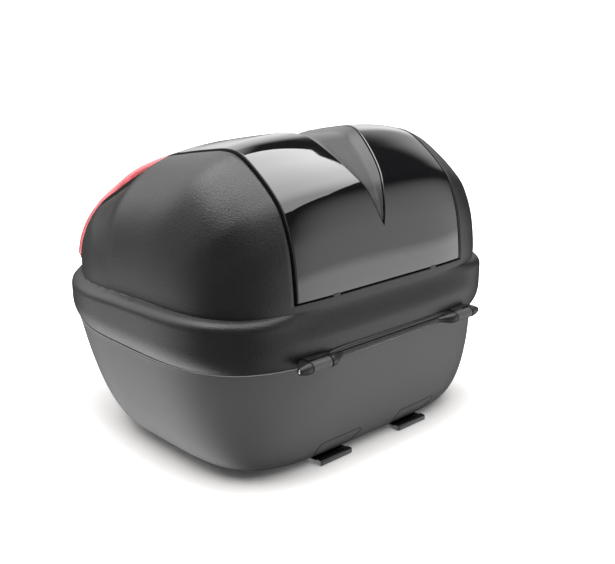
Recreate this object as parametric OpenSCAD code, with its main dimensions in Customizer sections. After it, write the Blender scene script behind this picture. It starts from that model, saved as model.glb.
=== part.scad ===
// Motorcycle top case: a moulded base and a hinged lid, joined by a pinned hinge on the
// rider's side (+Y) and a latch on the rear side (-Y). X runs across the motorcycle and
// Z is up, with z = 0 on the surface that the feet stand on.

/* [Case] */
// Half the width across the lid's skirt
half_w = 204; // [200:0.5:208]
// Depth from the middle to the skirt on the hinge side
front_d = 187.5; // [186:0.5:188.5]
// Depth from the middle to the skirt on the latch side
rear_d = 188; // [187:0.5:189]
// Height of the seam between base and lid
seam_z = 115.5; // [114:0.5:116.5]
// Height of the underside of the base above the feet's soles
floor_z = 4; // [3.9:0.1:4.5]
// Thickness of the base's wall
base_wall = 3; // [2.5:0.1:3.5]
// Thickness of the lid's wall
lid_wall = 3.2; // [2.8:0.1:3.6]

/* [Cover] */
// Half the width of the gloss cover panel
panel_half = 114.4; // [112:0.2:115]
// Thickness of the cover panel
panel_t = 3; // [2:0.1:3.5]
// Depth of the recess that the panel and lenses sit in
recess = 9; // [8:0.5:10]
// How fast the V notch opens, in millimetres a knot
vee_rate = 7.6; // [6:0.1:9]

/* [Hinge] */
// Distance of the hinge axis from the middle
hinge_y = 192.7; // [192:0.1:193.5]
// Height of the hinge axis
hinge_z = 119.4; // [118:0.1:121]
// Radius of the hinge knuckles
knuckle_r = 5.5; // [5:0.1:5.6]
// Radius of the hinge pins
pin_r = 2; // [1.5:0.1:2.5]

/* [Latch] */
// Radius of the lock cylinder
lock_r = 8.5; // [8:0.1:9]
// Width of the release button
button_w = 24; // [20:1:25]
// Half the width of the latch lever
lever_half = 34; // [28:1:36]

/* [Hidden] */

// ---- shape formulas ----
around = 60;
run_fit = 0.05;

function spow(v, e) = sign(v) * pow(abs(v), e);

// Height of a unit superellipse of exponent n at the fraction f of its half width
function falloff(f, n) = pow(max(0, 1 - pow(min(1, abs(f)), n)), 1 / n);

// Plan outline: half width a, depths bf and br to the hinge and latch sides
function outline(a, bf, br, nf, nr) = [
    for (k = [0:around - 1])
        let (t = 360 * (k + 0.5) / around, n = sin(t) > 0 ? nf : nr)
        [a * spow(cos(t), 2 / n), (sin(t) > 0 ? bf : br) * spow(sin(t), 2 / n)]
];

// Faces between stacked rings of m points each, listed from the outside bottom upwards
function ring_faces(rings, m, closed) = [
    for (k = [0:rings - (closed ? 1 : 2)])
        for (i = [0:m - 1])
            let (a = k * m, b = ((k + 1) % rings) * m, j = (i + 1) % m)
            [a + i, b + i, b + j, a + j]
];

// Faces of a thin patch: rows by cols points of the outer skin, then the same of the inner one
function patch_faces(rows, cols) =
    let (n = rows * cols)
    concat(
        [for (r = [0:rows - 2]) for (c = [0:cols - 2])
            [r * cols + c, r * cols + c + 1, (r + 1) * cols + c + 1, (r + 1) * cols + c]],
        [for (r = [0:rows - 2]) for (c = [0:cols - 2])
            [n + r * cols + c, n + (r + 1) * cols + c, n + (r + 1) * cols + c + 1, n + r * cols + c + 1]],
        [for (r = [0:rows - 2])
            [r * cols, (r + 1) * cols, n + (r + 1) * cols, n + r * cols]],
        [for (r = [0:rows - 2]) let (e = cols - 1)
            [r * cols + e, n + r * cols + e, n + (r + 1) * cols + e, (r + 1) * cols + e]],
        [for (c = [0:cols - 2]) [c, n + c, n + c + 1, c + 1]],
        [for (c = [0:cols - 2]) let (e = (rows - 1) * cols)
            [e + c, e + c + 1, n + e + c + 1, n + e + c]]
    );

// A quad split into two triangles, since the corners of a swept patch aren't in one plane
function split(faces) = [for (f = faces) each [[f[0], f[1], f[2]], [f[0], f[2], f[3]]]];

// Base: the wall leans in by lean and rounds under by round from the seam (u = 0) to the floor (u = 1)
rim_side = 5;
rim_front = 3.5;
rim_rear = 9;
side_lean = 15;
side_round = 35;
front_lean = 7;
front_round = 29;
rear_lean = 22;
rear_round = 58;

function round_under(u, e) = 1 - falloff(u, e);

function base_outline(z, off) =
    let (
        u = min(1, (seam_z - z) / (seam_z - floor_z)),
        ru = round_under(u, 2.6),
        a = half_w - rim_side - off - side_lean * u - side_round * ru,
        bf = front_d - rim_front - off - front_lean * u - front_round * round_under(u, 2.8),
        br = rear_d - rim_rear - off - rear_lean * u - rear_round * ru
    )
    outline(a, bf, br, 3.95 + u, 2.35 - 0.35 * u);

// Lid: knots of its section at x = 0, from the hinge side over the ridge to the latch side
ridge = [
    [178.8, 166], [180, 174.6], [179.2, 190], [175.8, 217], [170.6, 238], [160.5, 262],
    [147.5, 277], [128, 293], [105, 307], [84, 310], [55, 305], [20, 297.5], [-14, 289],
    [-50, 273], [-95, 254], [-133, 236], [-159, 211], [-173, 188], [-177, 172], [-177.5, 166]
];
last = len(ridge) - 1;
lid_half = 192;
shoulder_z = 166;
crown_z = 150;
peak_z = 310;
end_f = 0.9995;

function knot(k) = ridge[max(0, min(last, k))];

function section(t) =
    let (
        k = min(last - 1, floor(t)), f = t - k,
        a = knot(k - 1), b = knot(k), c = knot(k + 1), d = knot(k + 2)
    )
    0.5 * (2 * b + (c - a) * f + (2 * a - 5 * b + 4 * c - d) * f * f + (3 * b - a - 3 * c + d) * f * f * f);

function outward(t) =
    let (s = section(min(last, t + 0.01)) - section(max(0, t - 0.01)))
    [s[1], -s[0]] / norm(s);

// Point of the lid's skin at x across and t along the section, moved out by off
function dome(x, t, off) =
    let (
        p = section(t) + off * outward(t),
        f = x / (lid_half + off),
        top = crown_z + falloff(f, 3.3) * (peak_z - crown_z)
    )
    [
        x,
        p[0] * falloff(f, p[0] > 0 ? 4.7 : 2.35),
        shoulder_z + (p[1] - shoulder_z) * (top - shoulder_z) / (peak_z - shoulder_z)
    ];

// Columns of the lid across x: inside the recess, then out to the ends
centre_cols = 4;
end_cols = 9;

function columns(inner, edge, reach) = concat(
    [for (k = [-end_cols:0]) -(edge + (reach - edge) * sin(-90 * k / end_cols))],
    [for (k = [-centre_cols:centre_cols]) inner * k / centre_cols],
    [for (k = [0:end_cols]) edge + (reach - edge) * sin(90 * k / end_cols)]
);

function in_recess(c) = c > end_cols && c <= end_cols + 2 * centre_cols + 1;

// Half width of the V notch at t along the section, from its tip
vee_tip = 3.5;
function vee_half(t) = max(0, vee_rate * (t - vee_tip));

// Outer edge of a lens: it widens from the panel's corner down to the shoulder
lens_top = 12.25;
lens_end = 18;
lens_inner = 60;
function lens_edge(t) = panel_half + 0.6 + 43 * pow((t - lens_top) / (lens_end - lens_top), 0.8);

// ---- small shapes ----
module along_x(half) {
    rotate([90, 0, 90])
        translate([0, 0, -half])
            linear_extrude(2 * half)
                children();
}

module rod_x(r, from, to) {
    translate([from, 0, 0])
        rotate([0, 90, 0])
            cylinder(r = r, h = to - from, $fn = 48);
}

module pin_axis_x(y, z) {
    translate([0, y, z])
        children();
}

module screw(r, length, head_r, head_h) {
    cylinder(r = r, h = length, $fn = 32);
    translate([0, 0, -head_h])
        cylinder(r = head_r, h = head_h, $fn = 32);
}

// ---- base ----
foot_in = 35;
foot_out = 77;
foot_front = 170;
foot_back = 104;
foot_screw_y = [112, 140];
foot_screw_x = 56;
foot_screw_r = 2;
base_knuckle = [90.2, 113.8];
window = [50, 44, 106];
floor_slot = [13, -55, -41];
lower_screw = [58, -85];

module base_shell() {
    rise = 13;
    depth = seam_z - floor_z;
    outer = [for (k = [0:rise]) seam_z - depth * sin(90 * k / rise)];
    inner = [for (k = [rise:-1:0]) seam_z - (depth - base_wall) * sin(90 * k / rise)];
    skin = [for (z = outer) [for (q = base_outline(z, 0)) [q[0], q[1], z]]];
    lining = [
        for (z = inner)
            let (zo = seam_z - (seam_z - z) * depth / (depth - base_wall))
            [for (q = base_outline(zo, base_wall)) [q[0], q[1], z]]
    ];
    rings = len(outer) + len(inner);
    side = ring_faces(rings, around, true);
    floor_from = rise * around;
    color("#4a4a4c")
        difference() {
            union() {
                polyhedron(
                    [for (r = concat(skin, lining)) each r],
                    concat(
                        split([for (f = side) if (!(f[0] >= floor_from && f[0] < floor_from + around)) f]),
                        [[for (i = [0:around - 1]) floor_from + i]],
                        [[for (i = [around - 1:-1:0]) floor_from + around + i]]
                    )
                );
                for (s = [-1, 1])
                    base_knuckle_block(s);
            }
            for (s = [-1, 1])
                mirror([s < 0 ? 1 : 0, 0, 0])
                    pin_axis_x(hinge_y, hinge_z)
                        rod_x(pin_r, base_knuckle[0] - 1, base_knuckle[1] + 1);
            translate([-window[0], -200, window[1]])
                cube([2 * window[0], 60, window[2] - window[1]]);
            translate([-floor_slot[0], floor_slot[1], 0])
                cube([2 * floor_slot[0], floor_slot[2] - floor_slot[1], 20]);
            for (s = [-1, 1])
                for (y = foot_screw_y)
                    translate([s * foot_screw_x, y, 0])
                        cylinder(r = foot_screw_r, h = 20, $fn = 32);
            for (s = [-1, 1])
                translate([s * lower_screw[0], lower_screw[1], floor_z + 1])
                    cylinder(r = 1.5, h = 10, $fn = 32);
        }
}

module base_knuckle_block(s) {
    mid = s * (base_knuckle[0] + base_knuckle[1]) / 2;
    half = (base_knuckle[1] - base_knuckle[0]) / 2;
    pin_axis_x(hinge_y, hinge_z)
        rod_x(knuckle_r, mid - half, mid + half);
    translate([mid, 0, 0])
        along_x(half)
            polygon([
                [178.2, 98], [183, 98], [hinge_y + 5, hinge_z - 2.3], [hinge_y - 5.2, hinge_z - 1.8],
                [182, 112], [178.2, 108]
            ]);
}

module seal_gasket() {
    foot = base_wall + 0.4;
    lip = base_wall + 1.8;
    inner = base_wall + 4.4;
    low = seam_z - 4.5;
    high = seam_z + 1.7;
    levels = [
        [low, foot], [seam_z - 1, foot], [seam_z - 0.5, lip], [high, lip], [high, inner], [low, inner]
    ];
    color("#18181a")
        polyhedron(
            [for (l = levels) for (q = base_outline(seam_z, l[1])) [q[0], q[1], l[0]]],
            split([for (f = ring_faces(len(levels), around, true)) [f[3], f[2], f[1], f[0]]])
        );
}

module hook_foot(s) {
    mid = (foot_in + foot_out) / 2;
    half = (foot_out - foot_in) / 2;
    color("#151517")
        difference() {
            translate([s * mid, 0, 0])
                along_x(half)
                    polygon([
                        [foot_back, 0], [foot_front - 1, 0], [foot_front, 1], [foot_front, 5],
                        [foot_front - 1, 6], [162.5, 6], [161, 4.4], [153, floor_z - 0.05],
                        [foot_back, floor_z]
                    ]);
            for (y = foot_screw_y)
                translate([s * foot_screw_x, y, -1])
                    cylinder(r = foot_screw_r, h = 10, $fn = 32);
        }
}

module hook_foot_left() { hook_foot(1); }

module hook_foot_right() { hook_foot(-1); }

module foot_screws() {
    color("#9a9a9c")
        for (s = [-1, 1])
            for (y = foot_screw_y)
                translate([s * foot_screw_x, y, floor_z + base_wall])
                    mirror([0, 0, 1])
                        screw(foot_screw_r, floor_z + base_wall - 0.6, 4, 1.8);
}

module rear_pads() {
    color("#101012")
        for (s = [-1, 1])
            translate([s * 80, -62, 0])
                cylinder(r = 11, h = floor_z, $fn = 48);
}

module hinge_pins() {
    color("#d0d0d2")
        for (s = [-1, 1])
            mirror([s < 0 ? 1 : 0, 0, 0])
                pin_axis_x(hinge_y, hinge_z)
                    rod_x(pin_r, 72, 127.4);
}

// ---- latch and plate release, on the rear wall ----
lever_y = -187;
lever_z = 77;
lever_boss = 4.5;
small_pin_r = 1.5;
hook_y = -161;
hook_z = 90;
hook_half = 9;
lock_x = -22;
button_x = 22;
control_z = 60;
button_h = 15;
link_half = 5;

module button_shape(grow) {
    r = button_h / 2 + grow;
    union() {
        square([button_w - button_h, 2 * r], center = true);
        for (s = [-1, 1])
            translate([s * (button_w - button_h) / 2, 0])
                circle(r = r, $fn = 64);
    }
}

// Extrudes a shape of the rear view towards the hinge side, from y0 to y1
module rear_extrude(y0, y1) {
    translate([0, y1, 0])
        rotate([90, 0, 0])
            linear_extrude(y1 - y0)
                children();
}

module lock_housing() {
    cheek = 7;
    color("#2c2c2e")
        difference() {
            union() {
                along_x(window[0] - 0.3)
                    polygon([
                        [-150, window[1] + 0.3], [-168, window[1] + 0.3], [-177, 50], [-190.5, 69],
                        [-190.5, window[2] - 0.3], [-150, window[2] - 0.3]
                    ]);
                for (s = [-1, 1])
                    translate([s * (lever_half + 0.6 + cheek / 2), 0, 0])
                        along_x(cheek / 2)
                            polygon([[-185, 69], [-190.5, 69], [-197, 79], [-197.4, 105.7], [-185, 105.7]]);
                translate([lock_x, 0, control_z])
                    rear_extrude(-190, -160)
                        circle(r = lock_r + 3.5, $fn = 64);
                translate([button_x, 0, control_z])
                    rear_extrude(-188, -160)
                        button_shape(3);
            }
            // lever pocket
            along_x(lever_half + 0.5)
                polygon([
                    [-205, 71.5], [lever_y + 0.5, 71.5], [-181.5, 74], [-181.5, 82.5],
                    [-190.4, 84.5], [-205, 84.5]
                ]);
            pin_axis_x(lever_y, lever_z)
                rod_x(small_pin_r, -lever_half - 5, lever_half + 5);
            // finger hollow behind the lever
            translate([-20, -200, 96])
                cube([40, 18, 20]);
            // lock bore
            translate([lock_x, 0, control_z])
                rear_extrude(-200, -140)
                    circle(r = lock_r + run_fit, $fn = 64);
            // button well
            translate([button_x, 0, control_z])
                rear_extrude(-200, -140)
                    button_shape(0.35);
            // channel for the release link
            translate([button_x - link_half - 0.7, -173, window[1] - 1])
                cube([2 * link_half + 1.4, 40, 18]);
            // hook chamber
            translate([-hook_half - 3.5, -174, 80])
                cube([2 * hook_half + 7, 40, 40]);
            pin_axis_x(hook_y, hook_z)
                rod_x(small_pin_r, -20, 20);
            // upper screws of the mechanism cover
            for (s = [-1, 1])
                translate([s * upper_screw[0], 0, upper_screw[1]])
                    rear_extrude(-158, -140)
                        circle(r = 1.5, $fn = 32);
        }
}

upper_screw = [40, 92];

module lever_pin() {
    color("#c4c4c6")
        pin_axis_x(lever_y, lever_z)
            rod_x(small_pin_r, -lever_half - 4.5, lever_half + 4.5);
}

module latch_lever() {
    color("#232325")
        difference() {
            union() {
                pin_axis_x(lever_y, lever_z)
                    rod_x(lever_boss, -lever_half, lever_half);
                along_x(lever_half)
                    polygon([
                        [lever_y - 4, 75], [-196.5, 80], [-197.8, 92], [-198.2, 104], [-197.4, 108],
                        [-194.6, 109], [-192.2, 107.5], [-191.6, 86], [lever_y - 2, 81]
                    ]);
            }
            pin_axis_x(lever_y, lever_z)
                rod_x(small_pin_r + run_fit, -lever_half - 1, lever_half + 1);
        }
}

module hook_pin() {
    color("#c4c4c6")
        pin_axis_x(hook_y, hook_z)
            rod_x(small_pin_r, -19, 19);
}

module latch_hook() {
    color("#a8a8aa")
        difference() {
            union() {
                pin_axis_x(hook_y, hook_z)
                    rod_x(4.5, -hook_half, hook_half);
                along_x(hook_half)
                    polygon([
                        [hook_y + 2.5, hook_z], [hook_y + 2.5, 125], [-169, 125], [-170, 124],
                        [-170, 122.6], [hook_y - 3, 121.2], [hook_y - 3, hook_z]
                    ]);
            }
            pin_axis_x(hook_y, hook_z)
                rod_x(small_pin_r + run_fit, -hook_half - 1, hook_half + 1);
        }
}

module hook_springs() {
    coil = 2.5;
    wire = 0.45;
    color("#b4b4b6")
        pin_axis_x(hook_y, hook_z)
            for (s = [-1, 1])
                for (k = [0, 1])
                    translate([s * (hook_half + 1 + k * 1.2), 0, 0])
                        rotate([0, 90, 0])
                            rotate_extrude($fn = 32)
                                translate([coil, 0])
                                    circle(r = wire, $fn = 16);
}

module lock_cylinder() {
    slot = [2.2, 9];
    color("#b8b8ba")
        translate([lock_x, 0, control_z])
            difference() {
                union() {
                    rear_extrude(-191, -163)
                        circle(r = lock_r, $fn = 64);
                    translate([-2.5, -163, -6])
                        cube([5, 3, 12]);
                }
                translate([-slot[0] / 2, -195, -slot[1] / 2])
                    cube([slot[0], 12, slot[1]]);
            }
}

module release_button() {
    color("#b3181c")
        translate([button_x, 0, control_z])
            rear_extrude(-192, -172)
                button_shape(0);
}

module release_link() {
    color("#8c8c90")
        translate([button_x, 0, 0])
            along_x(link_half)
                polygon([
                    [-171.4, 54], [-168.6, 51], [-144, 46], [-102, 12.2], [-54, 12.2], [-54, 14.4],
                    [-100, 14.4], [-142.5, 48.8], [-168, 54.2], [-168.6, 66], [-171.4, 66]
                ]);
}

module plate_hook() {
    color("#8c8c90")
        along_x(floor_slot[0] - 1)
            polygon([
                [-53, 0.8], [-47.5, 0.8], [-47.5, 2.6], [-50.5, 2.6], [-50.5, 9.6], [-40, 9.6],
                [-40, 12], [-53, 12]
            ]);
    color("#8c8c90")
        translate([floor_slot[0] - 1, -53, 9.6])
            cube([16, 13, 2.4]);
}

module mechanism_cover() {
    half = 52.5;
    top_y = -167.5;
    skin = [
        [top_y, 110], [-140.5, 110], [-138.5, 60], [-91, 26.5], [-33.5, 22.5], [-33.5, 7.3],
        [-36, 7.3], [-36, 20.2], [-92, 24], [-141, 58.5], [-143, 107.5], [top_y, 107.5]
    ];
    cheek = [
        [top_y, 107.5], [-143, 107.5], [-141, 58.5], [-92, 24], [-36, 20.2], [-36, 7.3], [-97, 7.3],
        [-117, 14], [-134, 26], [-144, 40], [-156, 75], [-163, 100]
    ];
    color("#3a3a3c")
        difference() {
            union() {
                along_x(half)
                    polygon(skin);
                for (s = [-1, 1]) {
                    translate([s * (half - 1.2), 0, 0])
                        along_x(1.2)
                            polygon(cheek);
                    translate([s * (half + 5.5) - 6.5, lower_screw[1] - 8, floor_z + base_wall + 0.2])
                        cube([13, 16, 2.2]);
                }
            }
            translate([-hook_half - 2.5, -169.5, 102])
                cube([2 * hook_half + 5, 20, 12]);
            for (s = [-1, 1]) {
                translate([s * upper_screw[0], 0, upper_screw[1]])
                    rear_extrude(-150, -130)
                        circle(r = 1.6, $fn = 32);
                translate([s * lower_screw[0], lower_screw[1], 5])
                    cylinder(r = 1.6, h = 10, $fn = 32);
            }
        }
}

module cover_screws() {
    color("#9a9a9c")
        for (s = [-1, 1]) {
            translate([s * lower_screw[0], lower_screw[1], floor_z + base_wall + 2.4])
                mirror([0, 0, 1])
                    screw(1.5, 4, 3, 1.6);
            translate([s * upper_screw[0], -138.9, upper_screw[1]])
                rotate([90, 0, 0])
                    screw(1.5, 17, 3, 1.6);
        }
}

// ---- lid ----
lid_knuckles = [[70, 89.8], [114.2, 127]];
panel_screw_x = 75;
panel_screw_t = [8.9, 11];
panel_screw_r = 1.6;
keeper_screw = [10, 142];

// Rows of the lid along its section: t, and how much of the recess there is at that row
middle_rows = [for (t = [2:1:17]) [t, 1]];
outer_rows = concat([[0, 0], [0.8, 0], [0.85, 1]], middle_rows, [[18.1, 1], [18.15, 0], [last, 0]]);
inner_rows = concat([[0, 0], [0.3, 0], [0.45, 1]], middle_rows, [[18.4, 1], [18.55, 0], [last, 0]]);
// Loops of the skirt: height, then how far it is tucked in at the ends, the hinge side and the latch side
skirt = [
    [seam_z + 0.5, rim_side, rim_front, rim_rear], [119.5, 3.2, 1.2, 6.2], [125, 1.2, 0.1, 3],
    [131, 0.2, 0, 0.8], [138, 0, 0, 0], [156, 0, 0, 0], [160.5, 1.5, 1.5, 1.5], [164, 5.5, 5.5, 5.5]
];

function skirt_loop(level, wall, cols, reach) =
    let (
        z = level[0],
        a = half_w - level[1] - wall,
        bf = front_d - level[2] - wall,
        br = rear_d - level[3] - wall
    )
    concat(
        [for (x = cols) let (f = x / reach) [a * f, bf * falloff(f, 4.3), z]],
        [for (k = [len(cols) - 1:-1:0]) let (f = cols[k] / reach) [a * f, -br * falloff(f, 2.33), z]]
    );

module lid_shell() {
    out_cols = columns(panel_half + 0.4, panel_half + 0.8, end_f * lid_half);
    in_cols = columns(120, 120.4, end_f * (lid_half - lid_wall));
    cols = len(out_cols);
    loop = 2 * cols;
    rows = len(outer_rows);
    skirt_n = len(skirt);
    outer_skirt = [for (l = skirt) each skirt_loop(l, 0, out_cols, lid_half)];
    inner_skirt = [for (l = skirt) each skirt_loop(l, lid_wall, in_cols, lid_half - lid_wall)];
    outer_dome = [for (r = outer_rows) for (c = [0:cols - 1])
        dome(out_cols[c], r[0], in_recess(c) ? -recess * r[1] : 0)];
    inner_dome = [for (r = inner_rows) for (c = [0:cols - 1])
        dome(in_cols[c], r[0], in_recess(c) ? -lid_wall - recess * r[1] : -lid_wall)];
    o_dome = skirt_n * loop;
    i_skirt = o_dome + rows * cols;
    i_dome = i_skirt + skirt_n * loop;
    skin = concat(
        dome_faces(rows, cols, o_dome),
        [for (f = ring_faces(skirt_n, loop, false)) f],
        join_faces(cols, (skirt_n - 1) * loop, o_dome, rows)
    );
    lining = concat(
        dome_faces(rows, cols, i_dome),
        [for (f = ring_faces(skirt_n, loop, false)) [for (v = f) v + i_skirt]],
        join_faces(cols, i_skirt + (skirt_n - 1) * loop, i_dome, rows)
    );
    rim = [for (i = [0:loop - 1]) let (j = (i + 1) % loop) [i, j, i_skirt + j, i_skirt + i]];
    color("#3a3a3c")
        difference() {
            union() {
                polyhedron(
                    concat(outer_skirt, outer_dome, inner_skirt, inner_dome),
                    concat(
                        split(skin),
                        split([for (f = lining) [f[3], f[2], f[1], f[0]]]),
                        split(rim),
                        end_caps(rows, cols, o_dome, false),
                        end_caps(rows, cols, i_dome, true)
                    )
                );
                for (s = [-1, 1])
                    mirror([s < 0 ? 1 : 0, 0, 0])
                        lid_knuckle_blocks();
            }
            for (s = [-1, 1])
                mirror([s < 0 ? 1 : 0, 0, 0])
                    pin_axis_x(hinge_y, hinge_z)
                        rod_x(pin_r + run_fit, 65, 128);
            for (s = [-1, 1])
                for (t = panel_screw_t)
                    let (p = dome(s * panel_screw_x, t, -recess))
                    translate([p[0], p[1], p[2] - 14])
                        cylinder(r = panel_screw_r, h = 20, $fn = 32);
        }
}

// Skin faces of a dome of rows by cols points
function dome_faces(rows, cols, from) = [
    for (r = [0:rows - 2]) for (c = [0:cols - 2])
        let (a = from + r * cols + c)
        [a, a + 1, a + cols + 1, a + cols]
];

// Faces from the top loop of the skirt to the first and last rows of the dome
function join_faces(cols, loop_from, dome_from, rows) =
    let (back = dome_from + (rows - 1) * cols, n = 2 * cols)
    concat(
        [for (c = [0:cols - 2])
            [loop_from + c, loop_from + c + 1, dome_from + c + 1, dome_from + c]],
        [for (c = [0:cols - 2])
            [loop_from + n - 1 - c, back + c, back + c + 1, loop_from + n - 2 - c]],
        [[loop_from + cols - 1, loop_from + cols, back + cols - 1, dome_from + cols - 1]],
        [[loop_from + n - 1, loop_from, dome_from, back]]
    );

// Flat ends of a dome, at its first and last columns
function end_caps(rows, cols, from, flip) =
    let (
        low = [for (r = [rows - 1:-1:0]) from + r * cols],
        high = [for (r = [0:rows - 1]) from + r * cols + cols - 1]
    )
    flip ? [[for (k = [rows - 1:-1:0]) low[k]], [for (k = [rows - 1:-1:0]) high[k]]] : [low, high];

module lid_knuckle_blocks() {
    for (k = lid_knuckles)
        pin_axis_x(hinge_y, hinge_z)
            rod_x(knuckle_r, k[0], k[1]);
    for (k = lid_knuckles)
        translate([(k[0] + k[1]) / 2, 0, 0])
            along_x((k[1] - k[0]) / 2)
                polygon([
                    [hinge_y - 5, hinge_z + 0.6], [hinge_y + 3.5, hinge_z + 4.2], [186, 131],
                    [k[0] > 100 ? 182 : 185.5, 131], [k[0] > 100 ? 181 : 184.5, hinge_z + 1.4]
                ]);
}

// A thin patch of the lid's form between rows t and columns given by a function of t
module patch(rows, cols, outer_pts, inner_pts) {
    polyhedron(concat(outer_pts, inner_pts), split(patch_faces(rows, cols)));
}

module cover_panel() {
    rows = [for (k = [0:22]) 1.05 + k * 0.5 - (k == 0 ? 0 : 0.05)];
    n = len(rows);
    half_cols = 5;
    tip = 5;
    per = half_cols + 1;
    side = n * per;
    skin = [
        for (off = [0, -panel_t]) for (s = [-1, 1]) for (t = rows) for (c = [0:half_cols])
            let (w = vee_half(t), x = w + (panel_half - w) * c / half_cols)
            dome(s * x, t, off)
    ];
    // Below the tip of the V both halves share the points at x = 0
    function id(inner, s, r, c) =
        inner * 2 * side + ((c == 0 && r <= tip) ? 0 : s) * side + r * per + c;
    function both(q, flip) = flip ? [q[3], q[2], q[1], q[0]] : q;
    faces = [
        for (s = [0, 1]) each concat(
            [for (inner = [0, 1]) for (r = [0:n - 2]) for (c = [0:half_cols - 1])
                both(
                    [
                        id(inner, s, r, c), id(inner, s, r, c + 1),
                        id(inner, s, r + 1, c + 1), id(inner, s, r + 1, c)
                    ],
                    (inner + s) % 2 == 0
                )],
            [for (r = [0:n - 2])
                both(
                    [
                        id(0, s, r, half_cols), id(1, s, r, half_cols),
                        id(1, s, r + 1, half_cols), id(0, s, r + 1, half_cols)
                    ],
                    s == 0
                )],
            [for (r = [tip:n - 2])
                both([id(0, s, r, 0), id(0, s, r + 1, 0), id(1, s, r + 1, 0), id(1, s, r, 0)], s == 0)],
            [for (c = [0:half_cols - 1])
                both([id(0, s, 0, c), id(1, s, 0, c), id(1, s, 0, c + 1), id(0, s, 0, c + 1)], s == 0)],
            [for (c = [0:half_cols - 1])
                both(
                    [id(0, s, n - 1, c), id(0, s, n - 1, c + 1), id(1, s, n - 1, c + 1), id(1, s, n - 1, c)],
                    s == 0
                )]
        )
    ];
    color("#0c0c0e")
        difference() {
            union() {
                polyhedron(skin, split([for (f = faces) f]));
                for (s = [-1, 1])
                    for (t = panel_screw_t)
                        let (low = dome(s * panel_screw_x, t, -recess), top = dome(s * panel_screw_x, t, 0))
                        translate([low[0], low[1], low[2] + 2.2])
                            cylinder(r = 5, h = top[2] - low[2] - 3.6, $fn = 32);
            }
            for (s = [-1, 1])
                for (t = panel_screw_t)
                    let (p = dome(s * panel_screw_x, t, -recess))
                    translate([p[0], p[1], p[2] - 2])
                        cylinder(r = 1.4, h = 8, $fn = 32);
        }
}

module vee_insert() {
    rows = [for (k = [0:16]) 4 + k * 0.5];
    ring = [[-1, -1], [-0.62, -6], [0, -6], [0.62, -6], [1, -1]];
    function line(t, drop) = [for (c = ring) dome(c[0] * (vee_half(t) - 0.5), t, c[1] - drop)];
    color("#3c3c3e")
        patch(len(rows), len(ring), [for (t = rows) each line(t, 0)], [for (t = rows) each line(t, 2)]);
}

// How far a lens stands out of the lid at t: flush at the panel, proud above the shoulder
function lens_rise(t) = 2.2 + 8.6 * pow(min(1, (t - lens_top) / 3.6), 0.8);

lens_rows = [for (k = [0:11]) lens_top + (lens_end - lens_top) * k / 11];

module rear_patch(s, from, to, out, under, rise = 0) {
    n = 4;
    function line(t, off) = [
        for (c = [0:n])
            let (k = s > 0 ? c : n - c, x0 = from, x1 = to < 0 ? lens_edge(t) : to)
            dome(s * (x0 + (x1 - x0) * k / n), t, off)
    ];
    patch(
        len(lens_rows), n + 1,
        [for (t = lens_rows) each line(t, out + rise * lens_rise(t))],
        [for (t = lens_rows) each line(t, under)]
    );
}

module lens_left() { color([0.75, 0.05, 0.06, 0.7]) rear_patch(1, lens_inner, -1, 0, 1, 1); }

module lens_right() { color([0.75, 0.05, 0.06, 0.7]) rear_patch(-1, lens_inner, -1, 0, 1, 1); }

module reflector(s) {
    color("#d8c8c8")
        rear_patch(s, lens_inner + 2, panel_half - 2, 0.2, -recess + 0.6);
}

module reflector_left() { reflector(1); }

module reflector_right() { reflector(-1); }

module rear_garnish() {
    n = 6;
    function line(t, off) = [for (c = [0:n]) dome((lens_inner - 1) * (2 * c / n - 1), t, off)];
    color("#2a2a2c")
        patch(
            len(lens_rows), n + 1,
            [for (t = lens_rows) each line(t, 3)],
            [for (t = lens_rows) each line(t, -4)]
        );
}

module keeper_plate() {
    color("#a8a8aa")
        difference() {
            along_x(16)
                polygon([
                    [-183.9, 150], [-183.9, 132.5], [-176.6, 124], [-176.6, 118.8], [-170.6, 118.8],
                    [-170.6, 120.6], [-174.4, 120.6], [-174.4, 124.8], [-181.6, 133.3], [-181.6, 150]
                ]);
            for (s = [-1, 1])
                translate([s * keeper_screw[0], 0, keeper_screw[1]])
                    rear_extrude(-190, -170)
                        circle(r = 1.6, $fn = 32);
        }
}

module keeper_screws() {
    color("#9a9a9c")
        for (s = [-1, 1])
            translate([s * keeper_screw[0], -181.6, keeper_screw[1]])
                rotate([90, 0, 0])
                    screw(1.5, 2.2, 3, 1.6);
}

module panel_screws() {
    color("#9a9a9c")
        for (s = [-1, 1])
            for (t = panel_screw_t)
                let (
                    p = dome(s * panel_screw_x, t, -recess),
                    under = dome(s * panel_screw_x, t, -recess - lid_wall)
                )
                translate([p[0], p[1], under[2] - 3.2])
                    screw(1.35, 8.4, 3.2, 1.6);
}

base_shell();
seal_gasket();
hook_foot_left();
hook_foot_right();
foot_screws();
rear_pads();
hinge_pins();
lock_housing();
lever_pin();
hook_pin();
hook_springs();
mechanism_cover();
cover_screws();
lid_shell();
cover_panel();
vee_insert();
lens_left();
lens_right();
reflector_left();
reflector_right();
rear_garnish();
keeper_plate();
keeper_screws();
panel_screws();
latch_lever();
latch_hook();
lock_cylinder();
release_button();
plate_hook();
release_link();
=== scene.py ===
import math

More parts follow.
